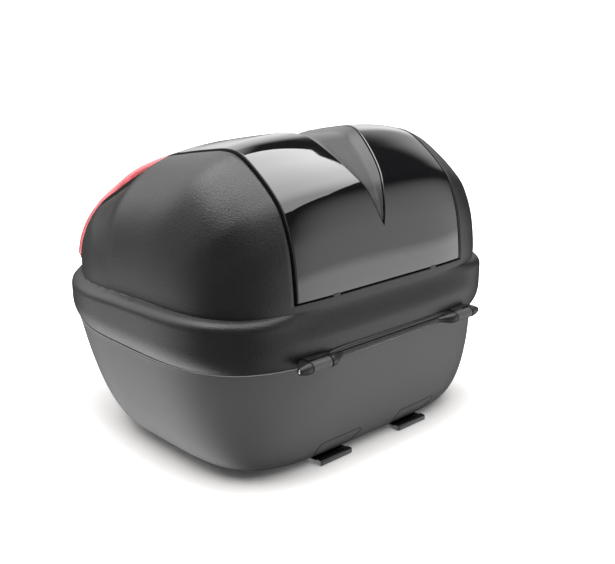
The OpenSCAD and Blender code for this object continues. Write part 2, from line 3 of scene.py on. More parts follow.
import bmesh
import bpy
import numpy as np
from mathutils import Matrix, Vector


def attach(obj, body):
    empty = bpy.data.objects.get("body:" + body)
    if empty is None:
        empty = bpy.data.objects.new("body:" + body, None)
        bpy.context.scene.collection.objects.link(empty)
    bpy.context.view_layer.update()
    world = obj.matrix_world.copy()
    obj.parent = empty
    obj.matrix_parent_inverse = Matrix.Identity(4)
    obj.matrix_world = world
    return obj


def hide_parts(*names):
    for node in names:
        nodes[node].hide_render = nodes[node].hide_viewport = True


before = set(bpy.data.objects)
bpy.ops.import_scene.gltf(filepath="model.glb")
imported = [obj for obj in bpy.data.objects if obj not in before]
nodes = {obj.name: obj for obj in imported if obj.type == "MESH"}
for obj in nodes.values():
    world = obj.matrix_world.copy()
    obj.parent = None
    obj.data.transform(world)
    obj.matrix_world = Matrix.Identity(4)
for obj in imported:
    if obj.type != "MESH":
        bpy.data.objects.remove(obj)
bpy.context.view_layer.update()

# The looks of the top case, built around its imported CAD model. Lengths are in millimetres, in
# the CAD's own frame, and become metres where a mesh is made. The case's form follows the CAD's
# formulas at a finer pitch, so that every highlight runs smooth. Most of it lies within 4 mm of
# the CAD's surface. The opening and the lenses at the rear depart from it by up to about 12 mm,
# and the reflectors are wider than the CAD's.
MM = 0.001

# ---------------------------------------------------------------- form of the case

HALF_W, FRONT_D, REAR_D = 203.8, 187.5, 188.0
SEAM_Z, FLOOR_Z = 115.5, 4.0
BASE_WALL, LID_WALL = 3.0, 3.2
RIM_SIDE, RIM_FRONT, RIM_REAR = 5.0, 3.5, 9.0
LID_HALF, SHOULDER_Z, CROWN_Z, PEAK_Z = 192.0, 166.0, 150.0, 310.0
# The lid's section at x = 0, y and z, from the hinge side over the ridge to the latch side.
# Its knots are numbered from 0, and a place along it is given as t, in knots.
RIDGE = np.array([
    (178.8, 166), (180, 174.6), (179.2, 190), (175.8, 217), (170.6, 238), (160.5, 262),
    (147.5, 277), (128, 293), (105, 307), (84, 310), (55, 306), (20, 299.6), (-14, 291.4),
    (-50, 271.5), (-95, 250.5), (-133, 233.5), (-159, 211), (-173, 188), (-177, 172), (-177.5, 166),
], float)
LAST = len(RIDGE) - 1
END_F = (1 - ((SHOULDER_Z - CROWN_Z) / (PEAK_Z - CROWN_Z)) ** 3.3) ** (1 / 3.3)
HINGE_Y, HINGE_Z, KNUCKLE_R = 192.7, 119.4, 5.5

PANEL_HALF = 113.4
RECESS_HALF = 115.6
RECESS_FROM, RECESS_TO = 0.9, 18.65
PANEL_FROM, PANEL_TO = 1.05, 12.18
VEE_TIP, VEE_RATE = 3.5, 7.6
LENS_FROM, LENS_TO, LENS_SPREAD = 12.25, 18.5, 46.0
LENS_INNER = 60.0
LIP_FALL = 2.3
STEP_DROP = 8.0


def falloff(f, n):
    """Height of a unit superellipse of exponent n at the fraction f of its half width."""
    return np.clip(1 - np.clip(np.abs(f), 0, 1) ** n, 0, 1) ** (1 / n)


def section(t):
    """The lid's section at x = 0: y and z at t knots along it."""
    k = np.clip(np.floor(t).astype(int), 0, LAST - 1)
    f = (t - k)[..., None]
    a, b, c, d = (RIDGE[np.clip(k + i, 0, LAST)] for i in (-1, 0, 1, 2))
    return 0.5 * (2 * b + (c - a) * f + (2 * a - 5 * b + 4 * c - d) * f ** 2
                  + (3 * b - a - 3 * c + d) * f ** 3)


def outward(t):
    step = section(np.minimum(LAST, t + 0.01)) - section(np.maximum(0, t - 0.01))
    side = np.stack([step[..., 1], -step[..., 0]], -1)
    return side / np.linalg.norm(side, axis=-1, keepdims=True)


def dome(x, t, off=0.0):
    """Points of the lid's skin at x across and t along the section, moved out by off."""
    x, t, off = np.broadcast_arrays(np.asarray(x, float), np.asarray(t, float), np.asarray(off, float))
    p = section(t) + off[..., None] * outward(t)
    f = x / (LID_HALF + off)
    top = CROWN_Z + falloff(f, 3.3) * (PEAK_Z - CROWN_Z)
    y = p[..., 0] * np.where(p[..., 0] > 0, falloff(f, 4.7), falloff(f, 2.35))
    z = SHOULDER_Z + (p[..., 1] - SHOULDER_Z) * (top - SHOULDER_Z) / (PEAK_Z - SHOULDER_Z)
    return np.stack([x, y, z], -1)


def even(points, values, count):
    """count values spread evenly by distance along the points that they belong to."""
    gaps = np.linalg.norm(np.diff(points, axis=0), axis=1)
    run = np.concatenate([[0], np.cumsum(gaps)])
    return np.interp(np.linspace(0, run[-1], count), run, values)


def outline(a, front, rear, nf, nr, count=384):
    """Plan outline as a closed ring: half width a, depths front and rear, spread evenly."""
    quarter = count // 4
    s = np.linspace(0, math.pi / 2, 500)

    def arc(b, n):
        xy = np.stack([a * np.cos(s) ** (2 / n), b * np.sin(s) ** (2 / n)], -1)
        k = even(xy, s, quarter + 1)
        return np.stack([a * np.clip(np.cos(k), 0, 1) ** (2 / n), b * np.sin(k) ** (2 / n)], -1)

    f, r = arc(front, nf), arc(rear, nr)
    return np.concatenate([f[:-1], (f * (-1, 1))[:0:-1], (r * (-1, -1))[:-1], (r * (1, -1))[:0:-1]])


def round_under(u, n):
    return 1 - falloff(u, n)


def base_ring(z, off=0.0, count=384):
    """The base's outline at height z, moved in by off."""
    u = min(1.0, (SEAM_Z - z) / (SEAM_Z - FLOOR_Z))
    ru = round_under(u, 2.6)
    return outline(
        HALF_W + 0.2 - RIM_SIDE - off - 15 * u - 35 * ru,
        FRONT_D - RIM_FRONT - off - 7 * u - 29 * round_under(u, 2.8),
        REAR_D - RIM_REAR - off - 22 * u - 58 * ru,
        3.95 + u, 2.35 - 0.35 * u, count,
    )


def base_front(x, z):
    """Depth of the base's hinge side at x and z."""
    u = (SEAM_Z - z) / (SEAM_Z - FLOOR_Z)
    a = HALF_W + 0.2 - RIM_SIDE - 15 * u - 35 * round_under(u, 2.6)
    return (FRONT_D - RIM_FRONT - 7 * u - 29 * round_under(u, 2.8)) * falloff(x / a, 3.95 + u)


def level(ring, z):
    return np.column_stack([ring, np.full(len(ring), z)])


# ---------------------------------------------------------------- mesh making

class Skin:
    """Points and the faces between them, gathered from grids, for one piece."""

    def __init__(self):
        self.points, self.faces, self.count = [], [], 0

    def add(self, grid):
        grid = np.asarray(grid, float)
        ids = np.arange(self.count, self.count + grid[..., 0].size).reshape(grid.shape[:-1])
        self.points.append(grid.reshape(-1, 3))
        self.count += ids.size
        return ids

    def quads(self, ids, around=False):
        if around:
            ids = np.hstack([ids, ids[:, :1]])
        corners = np.stack([ids[:-1, :-1], ids[:-1, 1:], ids[1:, 1:], ids[1:, :-1]], -1)
        self.faces += corners.reshape(-1, 4).tolist()

    def grid(self, grid, around=False):
        ids = self.add(grid)
        self.quads(ids, around)
        return ids

    def tube(self, rings):
        """A closed solid through rings of equally many points, with flat ends."""
        ids = self.grid(rings, around=True)
        self.faces += [ids[0].tolist(), ids[-1].tolist()]
        return ids

    def slab(self, outer, inner):
        """A closed solid between two grids of the same size."""
        a, b = self.grid(outer), self.grid(inner)
        for edge in (np.s_[0, :], np.s_[-1, :], np.s_[:, 0], np.s_[:, -1]):
            self.quads(np.stack([a[edge], b[edge]]))

    def mesh(self, name, weld=0.003):
        made = bpy.data.meshes.new(name)
        made.from_pydata((np.concatenate(self.points) * MM).tolist(), [], self.faces)
        work = bmesh.new()
        work.from_mesh(made)
        bmesh.ops.remove_doubles(work, verts=work.verts, dist=weld * MM)
        bmesh.ops.recalc_face_normals(work, faces=work.faces)
        work.to_mesh(made)
        work.free()
        return made


def smooth(mesh, angle):
    mesh.shade_smooth()
    mesh.set_sharp_from_angle(angle=math.radians(angle))


def add_bevel(piece, width, segments=3, angle=32):
    bevel = piece.modifiers.new("edges", "BEVEL")
    bevel.width = width * MM
    bevel.segments = segments
    bevel.limit_method = "ANGLE"
    bevel.angle_limit = math.radians(angle)
    return bevel


def place(name, mesh, body, finish, stands_for=(), sharp=38):
    """Makes a piece of a mesh, on a body, standing for CAD nodes."""
    smooth(mesh, sharp)
    piece = bpy.data.objects.new(name, mesh)
    bpy.context.scene.collection.objects.link(piece)
    mesh.materials.append(finish)
    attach(piece, body)
    if stands_for:
        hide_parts(*stands_for)
    return piece


def softened(node, name, body, finish, width, sharp=38):
    """A copy of a CAD node with its flat faces joined up and its edges rounded."""
    mesh = nodes[node].data.copy()
    mesh.materials.clear()
    work = bmesh.new()
    work.from_mesh(mesh)
    bmesh.ops.remove_doubles(work, verts=work.verts, dist=0.004 * MM)
    bmesh.ops.dissolve_limit(
        work, angle_limit=math.radians(0.6), verts=work.verts, edges=work.edges, delimit={"NORMAL"})
    work.to_mesh(mesh)
    work.free()
    piece = place(name, mesh, body, finish, (node,), sharp)
    bevel = add_bevel(piece, width)
    bevel.use_clamp_overlap = True
    return piece


# ---------------------------------------------------------------- materials

def nodes_of(name):
    material = bpy.data.materials.new(name)
    material.use_nodes = True
    tree = material.node_tree
    return material, tree, tree.nodes["Principled BSDF"]


def add(tree, kind, **values):
    node = tree.nodes.new(kind)
    for key, value in values.items():
        if key in node.inputs:
            node.inputs[key].default_value = value
        else:
            setattr(node, key, value)
    return node


def coordinates(tree):
    """Object coordinates in millimetres."""
    place_node = add(tree, "ShaderNodeTexCoord")
    scale = add(tree, "ShaderNodeVectorMath", operation="SCALE", Scale=1 / MM)
    tree.links.new(place_node.outputs["Object"], scale.inputs[0])
    return scale.outputs[0]


def noise(tree, where, scale, detail=3.0, rough=0.5):
    node = add(tree, "ShaderNodeTexNoise", Scale=scale, Detail=detail, Roughness=rough)
    tree.links.new(where, node.inputs["Vector"])
    return node.outputs["Fac"]


def cells(tree, where, scale, feature="SMOOTH_F1"):
    node = add(tree, "ShaderNodeTexVoronoi", feature=feature, Scale=scale)
    tree.links.new(where, node.inputs["Vector"])
    return node.outputs["Distance"]


def remap(tree, value, low, high, to_low, to_high):
    node = add(tree, "ShaderNodeMapRange")
    for index, number in zip((1, 2, 3, 4), (low, high, to_low, to_high)):
        node.inputs[index].default_value = number
    tree.links.new(value, node.inputs[0])
    return node.outputs[0]


def maths(tree, operation, a, b):
    node = add(tree, "ShaderNodeMath", operation=operation)
    for index, value in enumerate((a, b)):
        if isinstance(value, (int, float)):
            node.inputs[index].default_value = value
        else:
            tree.links.new(value, node.inputs[index])
    return node.outputs[0]


def blend_colours(tree, factor, dark, light):
    node = add(tree, "ShaderNodeMix", data_type="RGBA")
    node.inputs[6].default_value = (*dark, 1)
    node.inputs[7].default_value = (*light, 1)
    tree.links.new(factor, node.inputs[0])
    return node.outputs[2]


def bump(tree, shader, height, distance, strength=1.0):
    node = add(tree, "ShaderNodeBump", Strength=strength, Distance=distance * MM)
    tree.links.new(height, node.inputs["Height"])
    tree.links.new(node.outputs["Normal"], shader.inputs["Normal"])


def grained_plastic(name, dark, light, rough, grain, depth):
    """Moulded plastic with a fine leather grain: low cells with softer waves under them."""
    material, tree, shader = nodes_of(name)
    where = coordinates(tree)
    pebble = cells(tree, where, 1 / grain)
    wave = noise(tree, where, 0.9 / grain, 4.0, 0.6)
    cloud = noise(tree, where, 0.02, 3.0)
    tint = maths(tree, "MULTIPLY_ADD", pebble, 0.35)
    tree.links.new(cloud, tint.node.inputs[2])
    tree.links.new(blend_colours(tree, tint, dark, light), shader.inputs["Base Color"])
    spread = maths(tree, "ADD", remap(tree, wave, 0.3, 0.7, rough - 0.03, rough + 0.03),
                   remap(tree, cloud, 0.3, 0.7, -0.015, 0.015))
    tree.links.new(spread, shader.inputs["Roughness"])
    height = maths(tree, "ADD", maths(tree, "MULTIPLY", pebble, 0.7), maths(tree, "MULTIPLY", wave, 0.9))
    bump(tree, shader, height, depth)
    return material


def gloss_plastic(name, colour, rough=0.03):
    """Polished moulding: a very slight orange peel and faint wiping haze."""
    material, tree, shader = nodes_of(name)
    where = coordinates(tree)
    cloud = noise(tree, where, 0.012, 2.0)
    haze = noise(tree, where, 0.15, 4.0, 0.65)
    lighter = tuple(c * 1.6 + 0.0005 for c in colour)
    tree.links.new(blend_colours(tree, cloud, colour, lighter), shader.inputs["Base Color"])
    tree.links.new(remap(tree, haze, 0.35, 0.75, rough, rough + 0.025), shader.inputs["Roughness"])
    shader.inputs["Specular IOR Level"].default_value = 0.75
    shader.inputs["Coat Weight"].default_value = 0.6
    shader.inputs["Coat Roughness"].default_value = 0.02
    bump(tree, shader, noise(tree, where, 0.045, 1.0), 0.05)
    return material


def satin_plastic(name, dark, light, rough):
    material, tree, shader = nodes_of(name)
    where = coordinates(tree)
    fine = noise(tree, where, 1.6, 4.0, 0.6)
    cloud = noise(tree, where, 0.05, 3.0)
    tree.links.new(blend_colours(tree, cloud, dark, light), shader.inputs["Base Color"])
    tree.links.new(remap(tree, fine, 0.3, 0.7, rough - 0.05, rough + 0.05), shader.inputs["Roughness"])
    bump(tree, shader, fine, 0.06)
    return material


def lens_plastic(name):
    """Red moulded lens: clear coloured plastic, deeper red towards its top and in soft clouds, with a
    faint painted glow.
    """
    material, tree, shader = nodes_of(name)
    where = coordinates(tree)
    parts = add(tree, "ShaderNodeSeparateXYZ")
    tree.links.new(where, parts.inputs[0])
    high = remap(tree, parts.outputs["Z"], 225, 262, 0.0, 0.8)
    streaks = remap(tree, noise(tree, where, 0.035, 1.0), 0.4, 0.7, 0.0, 0.5)
    deep = maths(tree, "MAXIMUM", high, streaks)
    red = blend_colours(tree, deep, (0.86, 0.15, 0.17), (0.66, 0.025, 0.045))
    tree.links.new(red, shader.inputs["Base Color"])
    haze = noise(tree, where, 0.2, 3.0)
    tree.links.new(remap(tree, haze, 0.3, 0.7, 0.03, 0.07), shader.inputs["Roughness"])
    shader.inputs["Transmission Weight"].default_value = 0.5
    # painted light: a faint red glow standing for the light that the reflectors send back through the lens
    shader.inputs["Emission Color"].default_value = (1.0, 0.2, 0.23, 1)
    shader.inputs["Emission Strength"].default_value = 0.06
    shader.inputs["IOR"].default_value = 1.49
    shader.inputs["Coat Weight"].default_value = 1.0
    shader.inputs["Coat Roughness"].default_value = 0.02
    bump(tree, shader, noise(tree, where, 0.05, 1.0), 0.04)
    return material


def prism_plastic(name):
    """Silvered reflector with rows of corner prisms."""
    material, tree, shader = nodes_of(name)
    where = coordinates(tree)
    prisms = cells(tree, where, 0.28, "F1")
    silver = blend_colours(tree, prisms, (0.5, 0.3, 0.31), (0.9, 0.82, 0.82))
    tree.links.new(silver, shader.inputs["Base Color"])
    tree.links.new(remap(tree, noise(tree, where, 0.4), 0.3, 0.7, 0.15, 0.3), shader.inputs["Roughness"])
    shader.inputs["Metallic"].default_value = 0.7
    bump(tree, shader, prisms, 1.2)
    return material


def metal(name, colour, rough, brushed=0.0):
    material, tree, shader = nodes_of(name)
    where = coordinates(tree)
    fine = noise(tree, where, 2.5, 4.0, 0.6)
    cloud = noise(tree, where, 0.12, 4.0, 0.6)
    darker = tuple(c * 0.7 for c in colour)
    tree.links.new(blend_colours(tree, cloud, darker, colour), shader.inputs["Base Color"])
    tree.links.new(remap(tree, fine, 0.3, 0.7, rough - 0.06, rough + 0.08), shader.inputs["Roughness"])
    shader.inputs["Metallic"].default_value = 1.0
    bump(tree, shader, fine, 0.02 + brushed)
    return material


def rubber(name, colour):
    material, tree, shader = nodes_of(name)
    where = coordinates(tree)
    fine = noise(tree, where, 3.0, 5.0, 0.7)
    dust = noise(tree, where, 0.06, 4.0, 0.6)
    lighter = tuple(c * 1.8 for c in colour)
    tree.links.new(blend_colours(tree, dust, colour, lighter), shader.inputs["Base Color"])
    tree.links.new(remap(tree, fine, 0.3, 0.7, 0.6, 0.8), shader.inputs["Roughness"])
    bump(tree, shader, fine, 0.08)
    return material


LID = grained_plastic("lid_grain", (0.0065, 0.0065, 0.0067), (0.0115, 0.0115, 0.0117), 0.39, 1.4, 0.2)
BASE = grained_plastic("base_grain", (0.044, 0.044, 0.0445), (0.058, 0.058, 0.0585), 0.5, 1.2, 0.12)
# painted highlight: the rim bead's plastic is lighter than the base's, to show the bright line that light
# draws along the seam
RIM = grained_plastic("rim_painted_highlight", (0.22, 0.22, 0.222), (0.28, 0.28, 0.282), 0.42, 1.2, 0.08)
GLOSS = gloss_plastic("piano_black", (0.0025, 0.0025, 0.003))
VEE = satin_plastic("vee_satin", (0.034, 0.034, 0.0345), (0.044, 0.044, 0.0445), 0.42)
TRIM = satin_plastic("trim_satin", (0.014, 0.014, 0.0145), (0.022, 0.022, 0.0225), 0.36)
INNER = satin_plastic("inner_satin", (0.03, 0.03, 0.031), (0.042, 0.042, 0.043), 0.5)
FOOT = satin_plastic("foot_satin", (0.003, 0.003, 0.003), (0.005, 0.005, 0.005), 0.2)
LEVER = satin_plastic("lever_satin", (0.012, 0.012, 0.0125), (0.018, 0.018, 0.0185), 0.33)
BUTTON = satin_plastic("button_red", (0.42, 0.012, 0.014), (0.52, 0.02, 0.022), 0.32)
LENS = lens_plastic("lens_red")
PRISM = prism_plastic("reflector_prism")
RUBBER = rubber("seal_rubber", (0.012, 0.012, 0.012))
ZINC = metal("zinc_steel", (0.55, 0.55, 0.56), 0.34)
PIN = metal("pin_steel", (0.85, 0.85, 0.86), 0.14)
CHROME = metal("lock_chrome", (0.8, 0.8, 0.81), 0.16)
# painted shade: near-black plastic for strips, discs and lines set where the case has only shade, in the
# gaps beside the panel and the lenses, round the pins' ends and in the grooves round the feet's housings
SHADOW = satin_plastic("painted_shade_black", (0.004, 0.004, 0.004), (0.006, 0.006, 0.006), 0.6)

# ---------------------------------------------------------------- lid


def recess_edge(t):
    """Half width of the opening in the lid that the panel and the lenses fill."""
    s = np.clip((t - 12.1) / (LENS_TO - 12.1), 0, 1)
    return RECESS_HALF + (LENS_SPREAD + 0.6) * s ** 0.8


def arc_rate(t):
    """Millimetres along the section for each knot, at t."""
    before, after = np.maximum(0, t - 0.05), np.minimum(LAST, t + 0.05)
    return np.linalg.norm(section(after) - section(before), axis=-1) / (after - before)


def sink(inside, depth, width, fall):
    """How far the skin drops at a distance inside the opening's edge: a soft lip, then the wall."""
    s = np.clip((inside + width) / width, 0, 1) ** 1.5
    lip = fall * (0.55 * s ** 2 + 0.45 * (1 - np.sqrt(1 - s ** 2)))
    return np.where(inside > 0.02, depth, np.minimum(lip, depth))


def lid_rows():
    dense = np.linspace(0, LAST, 1200)
    rows = even(section(dense), dense, 170)
    lips = [0.78, 0.82, 0.85, 0.875, 0.89, 0.899, 0.905, 18.645, 18.651, 18.66, 18.68, 18.71, 18.76]
    rows = rows[(np.abs(rows - 0.85) > 0.1) & (np.abs(rows - 18.7) > 0.09)]
    return np.sort(np.concatenate([rows, lips]))


def side_shares(count):
    """Shares from the opening's edge (0) to the end of the lid (1), spread evenly by distance."""
    x = np.linspace(RECESS_HALF, END_F * LID_HALF, 4000)
    f = x / LID_HALF
    path = np.stack([x, 160 * falloff(f, 3.3), 110 * falloff(f, 4.7)], -1)
    spread = even(path, x, count)
    return (spread - RECESS_HALF) / (END_F * LID_HALF - RECESS_HALF)


def lid_columns(t, shares, lip):
    """x of the columns in the row at t, for the +X half: inside the opening, its lip, the side."""
    edge = recess_edge(t)
    floor = edge * np.linspace(0, 0.985, 8)
    near = edge - np.array([0.03, -0.001])
    lips = edge + lip * np.array([0.06, 0.2, 0.4, 0.65, 1.0])
    reach = END_F * LID_HALF
    side = edge + lip * 1.2 + (reach - edge - lip * 1.2) * shares
    return np.concatenate([floor, near, lips, side])


def skirt_tuck(z, side, front, rear):
    s = np.clip((135 - z) / 22, 0, 1)
    share = (1 - np.sqrt(1 - s ** 2)) / (1 - math.sqrt(1 - (19 / 22) ** 2))
    return side * share, front * share, rear * share


SIDE_STEP = np.array([
    (156, 0), (157.5, 0.02), (159, 0.07), (160.5, 0.15), (161.8, 0.26), (162.9, 0.39), (163.8, 0.52),
    (164.4, 0.64), (164.9, 0.75), (165.3, 0.85), (165.6, 0.92), (165.85, 0.97), (166, 1),
])


def skirt_levels():
    """Heights of the skirt's rings, each with its share of the step in to the dome at the front."""
    low = [116.0, 116.25, 116.7, 117.4, 118.3, 119.5, 121, 123, 125.5, 128.5, 132, 135]
    z = np.array(low + list(np.linspace(138, 157, 15)) + [p[0] for p in SIDE_STEP[1:-1]])
    k = np.clip((z - 138) / 28, 0, 1)
    return zip(z, k * k * (3 - 2 * k))


def lid_loops(dome_loop, front_x, rear_x, rows, wall):
    """Loops of the skirt, each matched point for point to the dome's edge loop."""
    half = HALF_W + 0.07 - wall
    loops = []
    for z, front_share in skirt_levels():
        side, front, rear = skirt_tuck(z, RIM_SIDE + 0.7, RIM_FRONT + 0.7, RIM_REAR + 0.7)
        under = {116.0: 0.5, 116.25: 0.15, 116.7: 0.03}.get(float(z), 0.0) if wall == 0 else 0.0
        a, bf, br = half - side - under, FRONT_D - wall - front - under, REAR_D - wall - rear - under
        ff, fr = front_x / (LID_HALF - wall), rear_x / (LID_HALF - wall)
        front_row = np.column_stack([a * ff, bf * falloff(ff, 4.3)])
        rear_row = np.column_stack([a * fr, -br * falloff(fr, 2.33)])
        steps = np.linspace(0, 1, rows)[1:-1, None]
        right = front_row[-1] + (rear_row[-1] - front_row[-1]) * steps
        left = rear_row[0] + (front_row[0] - rear_row[0]) * steps
        plan = np.concatenate([front_row, right, rear_row[::-1], left])
        loop = level(plan, z)
        k = np.clip((170 - np.abs(plan[:, :1])) / 75, 0, 1) * (plan[:, 1:] > 0)
        back = np.clip((70 - plan[:, 1:]) / 190, 0, 1)
        side_share = np.interp(z + STEP_DROP * back * back * (3 - 2 * back), *SIDE_STEP.T)
        share = side_share + (front_share - side_share) * k * k * (3 - 2 * k)
        loops.append(loop + (dome_loop - loop) * share * (1, 1, 0))
    return np.array(loops)


def edge_of(grid):
    """The closed loop of points round a grid's border."""
    return np.concatenate([grid[0], grid[1:-1, -1], grid[-1, ::-1], grid[1:-1, 0][::-1]])


def lid_skin(skin, rows, shares, lip, wall, depth):
    """One face of the lid, outer or inner: its dome with the opening sunk in it, and its skirt."""
    cols = np.array([lid_columns(t, shares, lip) for t in rows])
    cols = np.hstack([-cols[:, :0:-1], cols])
    if wall:
        cols *= (LID_HALF - wall) / LID_HALF
    t = rows[:, None]
    across = recess_edge(t) - np.abs(cols)
    along = np.minimum((t - RECESS_FROM) * arc_rate(t), (RECESS_TO - t) * arc_rate(t))
    if wall:
        inside = np.minimum(across + 4, along + 4)
        drop = depth * np.clip(inside / 3, 0, 1)
    else:
        fall = np.interp(t, (11.7, 12.7), (LIP_FALL, 0.6))
        drop = np.minimum(sink(across, depth, lip, fall), sink(along, depth, 1.0, 1.0))
    points = dome(cols, np.broadcast_to(t, cols.shape), -wall - drop)
    ids = skin.grid(points)
    edge = edge_of(points)
    loops = lid_loops(edge, cols[0], cols[-1], len(rows), wall)
    loop_ids = skin.grid(loops, around=True)
    joined = np.vstack([loop_ids[-1], edge_of(ids)])
    skin.quads(joined, around=True)
    return loop_ids[0]


def knuckle_arc(x, y, z, r, start, end, count=30):
    """Points of a hinge knuckle's round face, from its top over the outside to underneath."""
    a = np.radians(np.linspace(start, end, count))
    return [(x, y + r * math.cos(k), z + r * math.sin(k)) for k in a]


def lid_knuckle(skin, sections):
    """A hinge knuckle on the skirt: at each x its centre, its radius and the depth of its root."""
    rings = []
    for x, y, z, r, root in sections:
        ring = knuckle_arc(x, y, z, r, 95, -150)
        ring += [(x, root, z - r * 0.5), (x, root, z + r + 0.3)]
        rings.append(ring)
    skin.tube(np.array(rings))


def rod(skin, sections, sides=24):
    """A round bar through centres and radii listed from one x to the next."""
    a = np.linspace(0, 2 * math.pi, sides, endpoint=False)
    skin.tube(np.array([
        np.column_stack([np.full(sides, x), y + r * np.cos(a), z + r * np.sin(a)])
        for x, y, z, r in sections]))


def make_lid():
    skin = Skin()
    rows = lid_rows()
    lip = 5.6
    outer = lid_skin(skin, rows, side_shares(64), lip, 0.0, 9.0)
    inner = lid_skin(skin, rows, side_shares(64), lip, LID_WALL, 9.0)
    skin.quads(np.vstack([outer, inner]), around=True)
    name = "lid_moulding"
    place(name, skin.mesh(name), "lid", LID, ("lid_shell",), 50)

    hinges = Skin()
    for s in (1, -1):
        y, z, r, root = HINGE_Y, HINGE_Z, KNUCKLE_R, 183.0
        outer_knuckle = [
            (114.3, y, z, r - 0.3, root), (114.6, y, z, r, root), (118, y, z, r - 0.1, root + 0.6),
            (121.5, y, z, r - 0.7, root + 2.6), (124.5, y, z, r - 1.6, root + 5.2),
            (126.4, y, z, r - 2.2, root + 7.2), (127, y, z, r - 2.5, root + 7.8)]
        inner_knuckle = [
            (89.7, y, z, r - 0.3, root), (89.4, y, z, r, root), (86, y, z, r, root),
            (82, y - 0.7, z, r - 0.6, root), (78, y - 2.2, z, r - 1.5, root),
            (74, y - 3.9, z + 0.2, r - 2.3, root), (68, y - 5.6, z + 0.4, r - 2.8, root)]
        for sections in (outer_knuckle, inner_knuckle):
            lid_knuckle(hinges, [(s * x, a, b, c, d) for x, a, b, c, d in sections])
        hood = [(182.6, 126.3), (189.2, 126.3), (190.8, 126.0),
                (190.8, 125.7), (187.6, 124.7), (182.6, 121.5)]
        hinges.tube(np.array([[(s * x, a, b) for a, b in hood] for x in (89.2, 114.8)]))
    # two low beads join the hinges along the seam, and run out into the knuckles
    ends = ((88, 1.6), (76, 0.6), (66, 0.0))
    run = [(-x, dip) for x, dip in ends] + [(x, dip) for x, dip in ends[::-1]]
    rod(hinges, [(x, 186.4, 124.7 - dip, 2.4 - 0.6 * dip) for x, dip in run])
    rod(hinges, [(x, 187.4, 119.9, 2.6) for x, dip in run[1:-1]])
    place("lid_hinge_edge", hinges.mesh("lid_hinge_edge"), "lid", LID, (), 42)

    tabs = Skin()
    for s in (-1, 1):
        x = s * 68 + np.linspace(-4.6, 4.6, 7)
        t = np.array([0.8, 0.88, 0.96, 1.04, 1.12, 1.17])[:, None]
        rise = np.array([-0.3, 0.1, 0.2, 0.2, 0.1, -0.4])[:, None]
        fall = np.where(np.abs(x - s * 68) > 4, -0.4, 0.0)
        tabs.slab(dome(x, t, rise + fall), dome(x, t, -5.0))
    place("panel_clip_tabs", tabs.mesh("panel_clip_tabs"), "lid", LID, (), 50)


def vee_half(t):
    return np.maximum(0, VEE_RATE * (t - VEE_TIP))


def lip_drop(inside, radius):
    """Drop of a rounded outer edge at a distance inside it."""
    s = np.clip(1 - inside / radius, 0, 1)
    return radius * (1 - np.sqrt(np.clip(1 - s ** 2, 0, 1)))


def make_panel():
    """The gloss cover: two wings that meet below the tip of the V."""
    dense = np.linspace(PANEL_FROM, PANEL_TO, 900)
    rows = even(section(dense), dense, 110)
    ends = np.array([0, 0.1, 0.3, 0.6, 1.0])
    rows = np.concatenate([
        PANEL_FROM + ends / 8.7, rows[(rows > 1.2) & (rows < 12.13)], (PANEL_TO - ends / 36)[::-1],
        VEE_TIP + np.array([-0.06, -0.02, 0.02, 0.06, 0.12])])
    rows = np.unique(rows.round(4))
    t = rows[:, None]
    w = vee_half(t)
    lips = np.array([0, 0.08, 0.25, 0.5, 0.85, 1.2])
    middle = np.linspace(0, 1, 22)[1:-1]
    radius = 0.8
    skin = Skin()
    for s in (1, -1):
        x = np.hstack([w + lips, w + 1.2 + (PANEL_HALF - 1.2 - w - 1.2) * middle,
                       PANEL_HALF - np.broadcast_to(lips[::-1], (len(rows), len(lips)))])
        past = np.hypot(x, (VEE_TIP - t) * arc_rate(t))
        from_vee = np.where(t >= VEE_TIP, (x - w) * 0.99, past)
        along = np.minimum((t - PANEL_FROM) * arc_rate(t), (PANEL_TO - t) * arc_rate(t))
        inside = np.minimum(np.minimum(from_vee, PANEL_HALF - x), along)
        top = dome(s * x, np.broadcast_to(t, x.shape), -0.12 - lip_drop(inside, radius))
        under = dome(s * x, np.broadcast_to(t, x.shape), np.full(x.shape, -3.4))
        a, b = skin.grid(top), skin.grid(under)
        for edge in (np.s_[0, :], np.s_[-1, :], np.s_[:, -1]):
            skin.quads(np.stack([a[edge], b[edge]]))
        open_rows = rows >= VEE_TIP - 0.001
        skin.quads(np.stack([a[open_rows, 0], b[open_rows, 0]]))
    shade = Skin()
    run = np.linspace(PANEL_FROM + 0.03, PANEL_TO - 0.02, 120)[:, None]
    for s in (1, -1):
        depth = np.broadcast_to(np.array([0.35, -3.3]), (len(run), 2))
        shade.slab(dome(s * (PANEL_HALF + 1.0), run, depth), dome(s * (PANEL_HALF - 0.1), run, depth))
    place("panel_side_shade", shade.mesh("panel_side_shade"), "lid", SHADOW, (), 60)
    place("gloss_cover", skin.mesh("gloss_cover"), "lid", GLOSS, ("cover_panel",), 60)


def make_vee():
    """The sunk trough between the wings: a flat floor and two sloped walls with soft feet."""
    dense = np.linspace(3.72, PANEL_TO, 500)
    rows = even(section(dense), dense, 90)[:, None]
    profile = [(-1.0, -4.2), (-1.0, -1.25), (-0.97, -0.95), (-0.94, -1.15), (-0.8, -3.4),
               (-0.7, -4.95), (-0.64, -5.7), (-0.56, -6.0), (-0.3, -6.05)]
    profile += [(0.0, -6.05)] + [(-a, b) for a, b in profile[::-1]]
    share = np.array([p[0] for p in profile])
    off = np.array([p[1] for p in profile])
    half = np.maximum(0.4, vee_half(rows) - 1.1)
    x = half * share
    ease = np.clip((rows - 3.7) / 1.2, 0.25, 1)
    fall = (off + 1) * ease - 1
    skin = Skin()
    grid_t = np.broadcast_to(rows, x.shape)
    skin.slab(dome(x, grid_t, fall), dome(x, grid_t, np.minimum(fall - 1.5, -7.6)))
    place("vee_trough", skin.mesh("vee_trough"), "lid", VEE, ("vee_insert",), 50)


def lens_edge(t):
    return recess_edge(t) - 2.4


